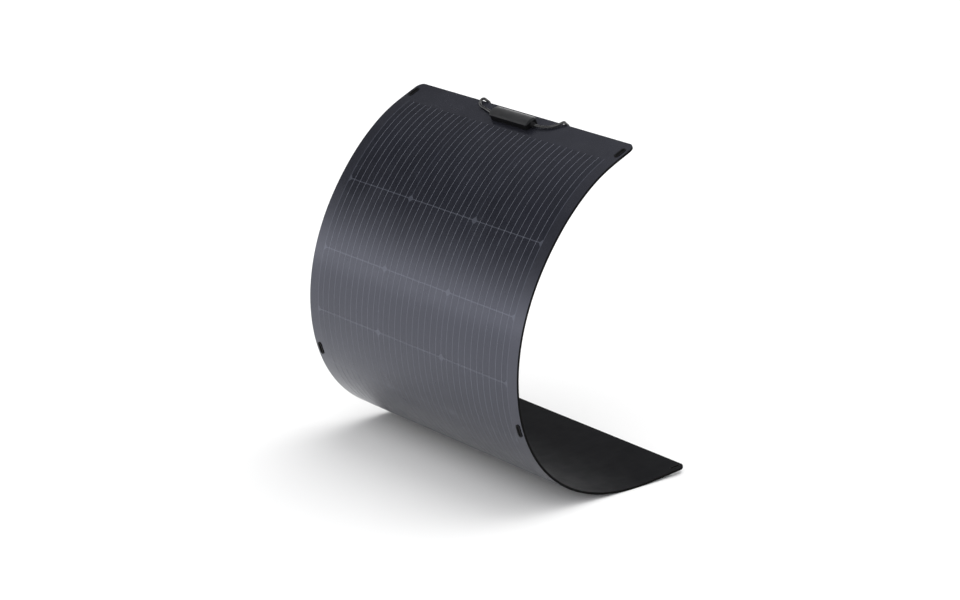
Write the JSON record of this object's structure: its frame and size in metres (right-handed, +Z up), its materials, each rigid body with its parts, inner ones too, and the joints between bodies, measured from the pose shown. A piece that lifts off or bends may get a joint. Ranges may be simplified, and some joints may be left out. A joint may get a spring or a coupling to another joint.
{
  "type": "flexible solar sheet",
  "caption": "Thin flexible solar laminate bent into an open C, with cells on the outer face, slotted eyelets along both sides, and a small junction box with two leads.",
  "frame": {"origin": "on the floor, under the middle of the bent sheet's footprint", "axes": "+X along the sheet's width, +Y towards the free edge of the tail, +Z up"},
  "size_m": [0.612, 0.4092, 0.6571],
  "materials": {
    "front_film": "dull-gloss clear film over black cells",
    "cell": "black cells with thin silver collector wires",
    "back_board": "black glass-fibre board, fine texture",
    "eyelet": "black moulded rim",
    "ribbon": "tinned copper ribbon",
    "pad": "black foam adhesive",
    "box_tray": "black moulded plastic",
    "box_lid": "satin dark grey moulded plastic",
    "gasket": "black rubber",
    "rail": "plated brass",
    "diode": "black moulded package",
    "potting": "dark potting compound",
    "gland": "black moulded plastic",
    "lead": "black double-insulated lead",
    "connector": "black moulded plastic",
    "contact": "tinned copper contact"
  },
  "bodies": {
    "span_12": {"front_sheet_12": "front_film", "back_sheet_12": "back_board", "cells_12": "cell"},
    "span_11": {"front_sheet_11": "front_film", "back_sheet_11": "back_board", "cells_11": "cell"},
    "span_10": {"front_sheet_10": "front_film", "back_sheet_10": "back_board", "cells_10": "cell"},
    "span_09": {"front_sheet_09": "front_film", "back_sheet_09": "back_board", "cells_09": "cell"},
    "span_08": {"front_sheet_08": "front_film", "back_sheet_08": "back_board", "cells_08": "cell", "eyelets_middle": "eyelet"},
    "span_07": {"front_sheet_07": "front_film", "back_sheet_07": "back_board", "cells_07": "cell"},
    "span_06": {"front_sheet_06": "front_film", "back_sheet_06": "back_board", "cells_06": "cell"},
    "span_05": {"front_sheet_05": "front_film", "back_sheet_05": "back_board", "cells_05": "cell"},
    "span_04": {"front_sheet_04": "front_film", "back_sheet_04": "back_board", "cells_04": "cell"},
    "span_03": {"front_sheet_03": "front_film", "back_sheet_03": "back_board", "cells_03": "cell"},
    "span_02": {"front_sheet_02": "front_film", "back_sheet_02": "back_board", "cells_02": "cell"},
    "span_01": {"front_sheet_01": "front_film", "back_sheet_01": "back_board", "eyelets_top": "eyelet", "bus_ribbons_top": "ribbon", "adhesive_pad": "pad", "box_tray": "box_tray", "box_gasket": "gasket", "box_lid": "box_lid", "terminal_rails": "rail", "bypass_diodes": "diode", "potting": "potting", "gland_bushes": "gland", "gland_nuts": "gland", "lead_left": "lead", "lead_right": "lead"},
    "span_13": {"front_sheet_13": "front_film", "back_sheet_13": "back_board", "cells_13": "cell", "eyelets_tail": "eyelet", "bus_ribbon_tail": "ribbon"},
    "drop_left": {"lead_drop_left": "lead", "plug_shell": "connector", "plug_pin": "contact"},
    "drop_right": {"lead_drop_right": "lead", "socket_shell": "connector", "socket_contact": "contact"}
  },
  "joints": [
    {"name": "bend_11", "type": "hinge", "parent": "span_12", "child": "span_11", "pos_m": [0, 0.03391, 0.00412], "axis": [1, 0, 0], "range_deg": [-8.05, 13.25], "stiffness_Nm_per_rad": 300},
    {"name": "bend_10", "type": "hinge", "parent": "span_11", "child": "span_10", "pos_m": [0, -0.04759, 0.02331], "axis": [1, 0, 0], "range_deg": [-10.95, 18.01], "stiffness_Nm_per_rad": 300},
    {"name": "bend_09", "type": "hinge", "parent": "span_10", "child": "span_09", "pos_m": [0, -0.11903, 0.06667], "axis": [1, 0, 0], "range_deg": [-12.46, 20.51], "stiffness_Nm_per_rad": 300},
    {"name": "bend_08", "type": "hinge", "parent": "span_09", "child": "span_08", "pos_m": [0, -0.17075, 0.13227], "axis": [1, 0, 0], "range_deg": [-11.86, 19.51], "stiffness_Nm_per_rad": 300},
    {"name": "bend_07", "type": "hinge", "parent": "span_08", "child": "span_07", "pos_m": [0, -0.19764, 0.21148], "axis": [1, 0, 0], "range_deg": [-9.88, 16.26], "stiffness_Nm_per_rad": 300},
    {"name": "bend_06", "type": "hinge", "parent": "span_07", "child": "span_06", "pos_m": [0, -0.20129, 0.29518], "axis": [1, 0, 0], "range_deg": [-8.36, 13.76], "stiffness_Nm_per_rad": 300},
    {"name": "bend_05", "type": "hinge", "parent": "span_06", "child": "span_05", "pos_m": [0, -0.18494, 0.37739], "axis": [1, 0, 0], "range_deg": [-7.45, 12.26], "stiffness_Nm_per_rad": 300},
    {"name": "bend_04", "type": "hinge", "parent": "span_05", "child": "span_04", "pos_m": [0, -0.1515, 0.45429], "axis": [1, 0, 0], "range_deg": [-6.39, 10.51], "stiffness_Nm_per_rad": 300},
    {"name": "bend_03", "type": "hinge", "parent": "span_04", "child": "span_03", "pos_m": [0, -0.10458, 0.52385], "axis": [1, 0, 0], "range_deg": [-6.39, 10.51], "stiffness_Nm_per_rad": 300},
    {"name": "bend_02", "type": "hinge", "parent": "span_03", "child": "span_02", "pos_m": [0, -0.0458, 0.58366], "axis": [1, 0, 0], "range_deg": [-8.06, 13.26], "stiffness_Nm_per_rad": 300},
    {"name": "bend_01", "type": "hinge", "parent": "span_02", "child": "span_01", "pos_m": [0, 0.0166, 0.62304], "axis": [1, 0, 0], "range_deg": [-4.57, 7.51], "stiffness_Nm_per_rad": 300},
    {"name": "bend_12", "type": "hinge", "parent": "span_12", "child": "span_13", "pos_m": [0, 0.11779, 0.00412], "axis": [-1, 0, 0], "range_deg": [-3.2, 5.26], "stiffness_Nm_per_rad": 300},
    {"name": "lead_left_swing", "type": "hinge", "parent": "span_01", "child": "drop_left", "pos_m": [-0.105, 0.06937, 0.64109], "axis": [1, 0, 0], "range_deg": [-30, 60]},
    {"name": "lead_right_swing", "type": "hinge", "parent": "span_01", "child": "drop_right", "pos_m": [0.119, 0.06978, 0.64018], "axis": [1, 0, 0], "range_deg": [-30, 60]}
  ],
  "couplings": [
    {"joint": "bend_10", "follows": "bend_11", "ratio": 1.3585},
    {"joint": "bend_09", "follows": "bend_11", "ratio": 1.5472},
    {"joint": "bend_08", "follows": "bend_11", "ratio": 1.4717},
    {"joint": "bend_07", "follows": "bend_11", "ratio": 1.2264},
    {"joint": "bend_06", "follows": "bend_11", "ratio": 1.0377},
    {"joint": "bend_05", "follows": "bend_11", "ratio": 0.92453},
    {"joint": "bend_04", "follows": "bend_11", "ratio": 0.79245},
    {"joint": "bend_03", "follows": "bend_11", "ratio": 0.79245},
    {"joint": "bend_02", "follows": "bend_11", "ratio": 1},
    {"joint": "bend_01", "follows": "bend_11", "ratio": 0.56604},
    {"joint": "bend_12", "follows": "bend_11", "ratio": 0.39623}
  ]
}
